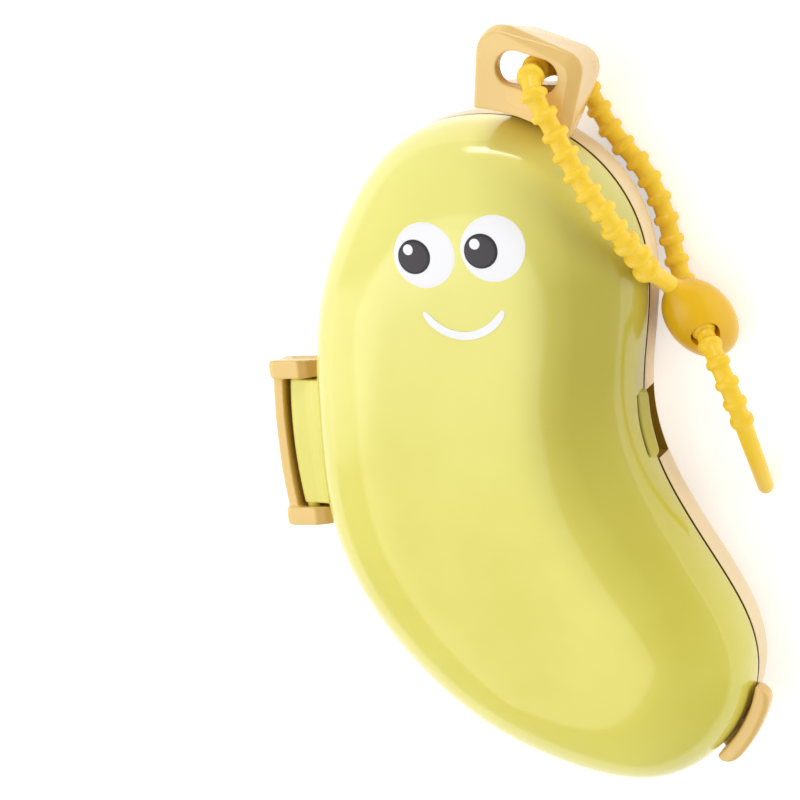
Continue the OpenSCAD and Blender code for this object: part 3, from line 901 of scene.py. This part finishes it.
def strip_loop(start, end, low, high, z, trim, steps=90):
    """A band along the outline between two knots; its ends are rounded off."""
    k = (1 - np.cos(np.pi * np.arange(steps + 1) / steps)) / 2
    bulge = np.sqrt(np.maximum(0, 1 - np.abs(2 * k - 1) ** BAND_END_POWER))
    share = BAND_END_SHARE + (1 - BAND_END_SHARE) * bulge
    u = start + (end - start) * k
    outer = shifted(u, low + trim + (high - low - 2 * trim) * share)
    inner = shifted(u[::-1], np.full(steps + 1, float(low)))
    xy = np.concatenate([outer, inner])
    return np.column_stack([xy, np.full(len(xy), float(z))])


def strip(name, start, end, levels):
    """A stack of such bands; each level says by how many knots its far end is pulled back."""
    return loft(name, [strip_loop(start, end - back, low, high, z, trim)
                       for low, high, z, trim, back in levels])


def make_pull_lip():
    """A lozenge with a slanted face; its levels are given as reach, height and trim."""
    low, high = LID_BOTTOM + 0.6, LID_BOTTOM + PULL_THICK + 0.3
    levels = ((PULL_REACH, low, 0.4), (PULL_REACH, low + 0.4, 0.1), (PULL_REACH, low + 0.9, 0.1),
              (0.3, high - 0.2, 0.1), (0.1, high, 0.1))
    lip = strip("pull_lip_lozenge", LATCH_AT - LATCH_HALF, LATCH_AT + LATCH_HALF,
                [(-PULL_SINK, reach, z, trim, 0) for reach, z, trim in levels])
    soften(lip, voxel=0.15, rounds=5)
    dress(lip, LIP_SHADED_LIME, "lid", "pull_lip")


def below_upright(z):
    return max(0, NUB_UPRIGHT - z) / (NUB_UPRIGHT - NUB_FOOT)


def make_tail_nub():
    """A nub that leans in towards its foot; its levels are given as height, inside and trim."""
    levels = ((NUB_FOOT, SEAT, 0.6), (NUB_FOOT + 1, SEAT, 0.1), (BASE_HEIGHT - 0.2, SEAT, 0),
              (BASE_HEIGHT - 0.1, NUB_GAP, 0), (NUB_UPRIGHT, NUB_GAP, 0),
              (NUB_TOP - 1.2, NUB_GAP, 0), (NUB_TOP - 0.4, NUB_GAP + 0.2, 0.2),
              (NUB_TOP, NUB_GAP + 0.6, 0.6))
    side = NUB_GAP + NUB_THICK
    nub = strip("tail_nub_curve", NUB_FROM, NUB_TO,
                [(low, side - NUB_LEAN * below_upright(z) - trim, z, trim,
                  NUB_RAKE * below_upright(z)) for z, low, trim in levels])
    soften(nub, voxel=0.25, rounds=8)
    dress(nub, PEACH, "base", "tail_nub")


make_pull_lip()
make_tail_nub()


# Print on the lid

lid_tree = BVHTree.FromObject(lid_shell, bpy.context.evaluated_depsgraph_get())


def on_lid(x, y, lift):
    hit = lid_tree.ray_cast(Vector((x * MM, y * MM, 0.1)), Vector((0, 0, -1)))
    return (x, y, hit[0].z / MM + lift)


def printed(name, at, rows, columns, material):
    """A thin film on the lid; at gives x, y and lift for a row and a column from 0 to 1."""
    points = [on_lid(*at(i / rows, k / columns)) for i in range(rows + 1)
              for k in range(columns + 1)]
    n = columns + 1
    faces = [(i * n + k, i * n + k + 1, (i + 1) * n + k + 1, (i + 1) * n + k)
             for i in range(rows) for k in range(columns)]
    film = from_data(name, points, faces)
    if film.data.polygons[0].normal.z < 0:
        film.data.flip_normals()
    film.data.shade_smooth()
    dress(film, material, "lid")


def disc(name, centre, inner, outer, lift, material):
    def at(row, column):
        r = inner + (outer - inner) * row
        edge = lift if row < 1 else lift - FILM_EDGE
        a = 2 * math.pi * column
        return centre[0] + r * math.cos(a), centre[1] + r * math.sin(a), edge
    printed(name, at, rows=14, columns=72, material=material)


def eye(side, centre, look):
    """A white disc, a dark line, a pupil and a glint, each a film higher than the last."""
    pupil = (centre[0] + look[0], centre[1] + look[1])
    glint = (pupil[0] + GLINT_OFFSET[0], pupil[1] + GLINT_OFFSET[1])
    disc(f"eye_white_{side}", centre, DISC_HOLE, EYE_RADIUS, PRINT_LIFT, EYE_WHITE)
    disc(f"eye_line_{side}", pupil, PUPIL_RADIUS - PUPIL_LINE_INSIDE,
         PUPIL_RADIUS + PUPIL_LINE_OUTSIDE, PRINT_LIFT * 2, PUPIL_LINE)
    disc(f"pupil_{side}", pupil, DISC_HOLE, PUPIL_RADIUS, PRINT_LIFT * 3, PUPIL_GREY)
    disc(f"glint_{side}", glint, DISC_HOLE, GLINT_RADIUS, PRINT_LIFT * 4, EYE_WHITE)


def smile():
    def at(row, column):
        share = 2 * column - 1
        a = math.radians(-90 + SMILE_HALF_ANGLE * share)
        half = SMILE_STROKE * (1 - abs(share) ** SMILE_TAPER) ** 0.5
        r = SMILE_RADIUS + half * (2 * row - 1)
        return SMILE_CENTRE[0] + r * math.cos(a), SMILE_CENTRE[1] + r * math.sin(a), PRINT_LIFT
    printed("smile_line", at, rows=6, columns=90, material=EYE_WHITE)


for side, (centre, look) in EYES.items():
    eye(side, centre, look)
smile()


# Floor, light and background

def make_floor():
    """A plain floor that the camera and mirrored rays see a little brighter than it is lit."""
    reach = FLOOR_REACH
    floor = from_data("floor", [(-reach, -reach, 0), (reach, -reach, 0), (reach, reach, 0),
                                (-reach, reach, 0)], [(0, 1, 2, 3)])
    material, nodes, links = new_material("floor_white")
    light = nodes.new("ShaderNodeLightPath")
    diffuse = nodes.new("ShaderNodeBsdfDiffuse")
    diffuse.inputs["Color"].default_value = (FLOOR_WHITE, FLOOR_WHITE, FLOOR_WHITE, 1)
    seen = nodes.new("ShaderNodeMath")
    seen.operation = "MAXIMUM"
    links.new(light.outputs["Is Camera Ray"], seen.inputs[0])
    links.new(light.outputs["Is Glossy Ray"], seen.inputs[1])
    glow = nodes.new("ShaderNodeEmission")
    glow.inputs["Color"].default_value = (FLOOR_GLOW, FLOOR_GLOW, FLOOR_GLOW, 1)
    links.new(seen.outputs[0], glow.inputs["Strength"])
    both = nodes.new("ShaderNodeAddShader")
    links.new(diffuse.outputs[0], both.inputs[0])
    links.new(glow.outputs[0], both.inputs[1])
    output = nodes.new("ShaderNodeOutputMaterial")
    links.new(both.outputs[0], output.inputs["Surface"])
    floor.data.materials.append(material)


def area_light(name, place, size, power, mirrored):
    """A lamp that faces the case; only mirrored ones show in its gloss."""
    data = bpy.data.lights.new(name, "AREA")
    data.shape = "RECTANGLE"
    data.size, data.size_y = (v * MM for v in size)
    data.energy = power
    lamp = bpy.data.objects.new(name, data)
    bpy.context.scene.collection.objects.link(lamp)
    lamp.location = Vector(place) * MM
    lamp.visible_glossy = mirrored
    way = Vector(LAMP_AIM) * MM - lamp.location
    lamp.rotation_euler = way.to_track_quat("-Z", "Y").to_euler()


def make_world():
    """A white studio that is brighter on the left than on the right."""
    world = bpy.data.worlds.new("studio")
    bpy.context.scene.world = world
    world.use_nodes = True
    nodes, links = world.node_tree.nodes, world.node_tree.links
    background = nodes["Background"]
    background.inputs["Color"].default_value = (1, 1, 1, 1)
    direction = nodes.new("ShaderNodeTexCoord").outputs["Generated"]
    strength = spread(nodes, links, axis_of(nodes, links, direction, 0), WORLD_LEFT, WORLD_RIGHT,
                      *WORLD_SPAN)
    links.new(strength, background.inputs["Strength"])


make_floor()
make_world()
for lamp in LAMPS:
    area_light(*lamp)

bpy.context.scene.view_settings.view_transform = "Standard"
